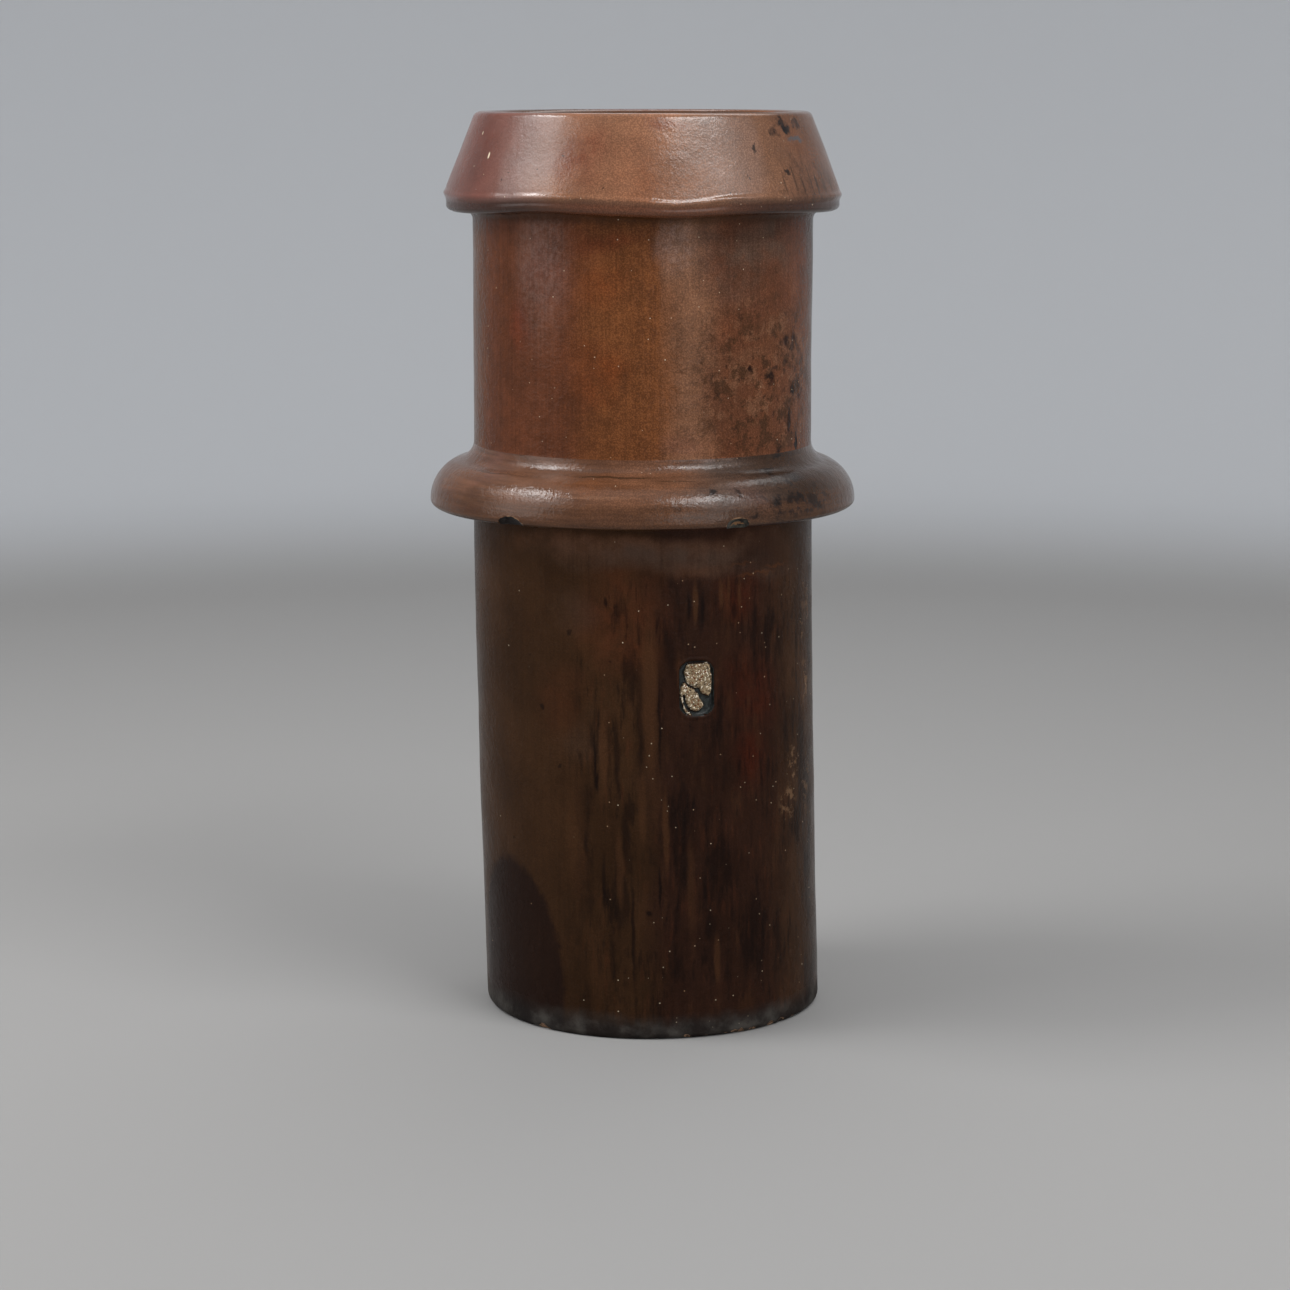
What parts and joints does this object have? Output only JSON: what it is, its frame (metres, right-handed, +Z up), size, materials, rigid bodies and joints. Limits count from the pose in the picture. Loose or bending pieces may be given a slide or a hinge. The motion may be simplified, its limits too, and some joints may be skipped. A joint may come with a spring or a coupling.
{
  "type": "chimney pot",
  "caption": "Salt-glazed stoneware chimney pot: a straight round flue with a coned rim collar at the top and a rounded middle collar that sits over the stack.",
  "frame": {"origin": "centre of the foot, on the floor that the pot stands on", "axes": "+Z up along the flue; -Y is the front as pictured, +X its right"},
  "size_m": [0.3389, 0.339, 0.715],
  "materials": {
    "salt_glaze": "brown salt glaze with an orange-peel surface, weathered"
  },
  "bodies": {
    "root": {"chimney_pot": "salt_glaze"}
  },
  "joints": []
}
